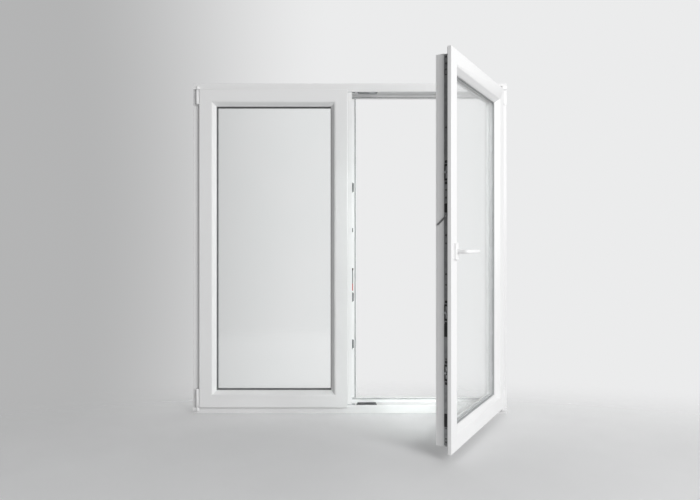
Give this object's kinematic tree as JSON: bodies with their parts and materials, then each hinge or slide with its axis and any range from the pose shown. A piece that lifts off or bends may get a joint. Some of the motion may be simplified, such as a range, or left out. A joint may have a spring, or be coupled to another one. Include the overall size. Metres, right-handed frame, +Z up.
{
  "type": "casement window",
  "caption": "Two-leaf white plastic tilt-and-turn casement window with a floating mullion, one leaf standing open.",
  "frame": {"origin": "middle of the bottom face of the outer frame", "axes": "+X to the right seen from the room, +Y out through the window, +Z up"},
  "size_m": [1.5, 0.7187, 1.58],
  "materials": {
    "white_pvc": "satin white uPVC",
    "galvanised_steel": "galvanised",
    "grey_gasket": "matte grey TPE",
    "glass": "clear float",
    "warm_edge_spacer": "satin",
    "glazing_block": "matte",
    "silver_hardware": "silver coated",
    "dark_hardware": "dark die cast",
    "white_cover": "gloss",
    "white_handle": "white powder coat",
    "red_grip": "matte red"
  },
  "bodies": {
    "frame": {"frame_sill": "white_pvc", "frame_head": "white_pvc", "frame_jamb_left": "white_pvc", "frame_jamb_right": "white_pvc", "frame_reinforcements": "galvanised_steel", "frame_stop_gasket": "grey_gasket", "drain_caps": "white_cover", "frame_strikers": "silver_hardware", "tilt_striker": "silver_hardware", "bolt_keepers": "silver_hardware", "corner_bearings": "white_cover", "stay_bearings": "white_cover"},
    "passive_sash": {"passive_top_rail": "white_pvc", "passive_bottom_rail": "white_pvc", "passive_hinge_stile": "white_pvc", "passive_meeting_stile": "white_pvc", "passive_reinforcements": "galvanised_steel", "passive_glass_panes": "glass", "passive_glass_spacer": "warm_edge_spacer", "passive_glazing_beads": "white_pvc", "passive_gaskets": "grey_gasket", "passive_glazing_blocks": "glazing_block", "floating_mullion": "white_pvc", "mullion_end_caps": "white_cover", "mullion_gaskets": "grey_gasket", "mullion_faceplate": "silver_hardware", "mullion_strikers": "silver_hardware", "passive_gear_case": "dark_hardware", "passive_hinges": "white_cover", "passive_hinge_covers": "white_cover"},
    "passive_lever_arm": {"passive_lever": "silver_hardware", "passive_lever_grip": "red_grip"},
    "top_bolt": {"passive_top_bolt": "silver_hardware"},
    "bottom_bolt": {"passive_bottom_bolt": "silver_hardware"},
    "corner_pivot_body": {"corner_pivot": "white_cover", "corner_pivot_cover": "white_cover"},
    "active_sash": {"active_top_rail": "white_pvc", "active_bottom_rail": "white_pvc", "active_lock_stile": "white_pvc", "active_hinge_stile": "white_pvc", "active_reinforcements": "galvanised_steel", "active_glass_panes": "glass", "active_glass_spacer": "warm_edge_spacer", "active_glazing_beads": "white_pvc", "active_gaskets": "grey_gasket", "active_glazing_blocks": "glazing_block", "active_faceplates": "silver_hardware", "active_corner_hinge": "silver_hardware", "corner_drives": "silver_hardware", "gearbox_case": "dark_hardware", "handle_rosette": "white_handle"},
    "stay": {"stay_arm": "silver_hardware", "stay_arm_cover": "white_cover"},
    "handle": {"handle_lever": "white_handle", "handle_spindle": "silver_hardware", "drive_pinion": "dark_hardware"},
    "lock_rod": {"lock_drive_rod": "silver_hardware"},
    "top_rod": {"top_drive_rod": "silver_hardware"},
    "bottom_rod": {"bottom_drive_rod": "silver_hardware"},
    "guard": {"guard_lever": "silver_hardware"}
  },
  "joints": [
    {"name": "active_turn", "type": "hinge", "parent": "frame", "child": "corner_pivot_body", "pos_m": [0.7275, -0.0445, 0.79], "axis": [0, 0, 1], "range_deg": [-60.2, 49.8]},
    {"name": "active_tilt", "type": "hinge", "parent": "corner_pivot_body", "child": "active_sash", "pos_m": [0.7275, -0.0445, 0.042], "axis": [0.497, 0.8678, 0], "range_deg": [0, 5.5]},
    {"name": "stay_swing", "type": "hinge", "parent": "corner_pivot_body", "child": "stay", "pos_m": [0.7275, -0.0445, 1.51], "axis": [0, 0, 1], "range_deg": [0, 21.5]},
    {"name": "handle_turn", "type": "hinge", "parent": "active_sash", "child": "handle", "pos_m": [0.41217, -0.65445, 0.785], "axis": [0.8678, -0.497, 0], "range_deg": [-90, 90]},
    {"name": "lock_rod_slide", "type": "slide", "parent": "active_sash", "child": "lock_rod", "axis": [0, 0, 1], "range_m": [-0.0182, 0.0182]},
    {"name": "top_rod_slide", "type": "slide", "parent": "active_sash", "child": "top_rod", "axis": [0.497, 0.8678, 0], "range_m": [-0.0182, 0.0182]},
    {"name": "bottom_rod_slide", "type": "slide", "parent": "active_sash", "child": "bottom_rod", "axis": [0.497, 0.8678, 0], "range_m": [-0.0182, 0.0182]},
    {"name": "guard_lever_swing", "type": "hinge", "parent": "active_sash", "child": "guard", "pos_m": [0.35907, -0.64858, 0.918], "axis": [-0.497, -0.8678, 0], "range_deg": [0, 45], "stiffness_Nm_per_rad": 0.05, "springref_deg": -22.92},
    {"name": "passive_turn", "type": "hinge", "parent": "frame", "child": "passive_sash", "pos_m": [-0.7275, -0.0445, 0.79], "axis": [0, 0, -1], "range_deg": [0, 110]},
    {"name": "passive_lever_swing", "type": "hinge", "parent": "passive_sash", "child": "passive_lever_arm", "pos_m": [0.0124, -0.025, 0.69], "axis": [0, -1, 0], "range_deg": [0, 180]},
    {"name": "top_bolt_slide", "type": "slide", "parent": "passive_sash", "child": "top_bolt", "axis": [0, 0, 1], "range_m": [0, 0.0202]},
    {"name": "bottom_bolt_slide", "type": "slide", "parent": "passive_sash", "child": "bottom_bolt", "axis": [0, 0, -1], "range_m": [0, 0.0202]}
  ],
  "couplings": [
    {"joint": "stay_swing", "follows": "active_tilt", "ratio": 3.9},
    {"joint": "lock_rod_slide", "follows": "handle_turn", "m_per_rad": -0.0115},
    {"joint": "top_rod_slide", "follows": "handle_turn", "m_per_rad": -0.0115},
    {"joint": "bottom_rod_slide", "follows": "handle_turn", "m_per_rad": 0.0115},
    {"joint": "top_bolt_slide", "follows": "passive_lever_swing", "m_per_rad": 0.006366},
    {"joint": "bottom_bolt_slide", "follows": "passive_lever_swing", "m_per_rad": 0.006366}
  ]
}
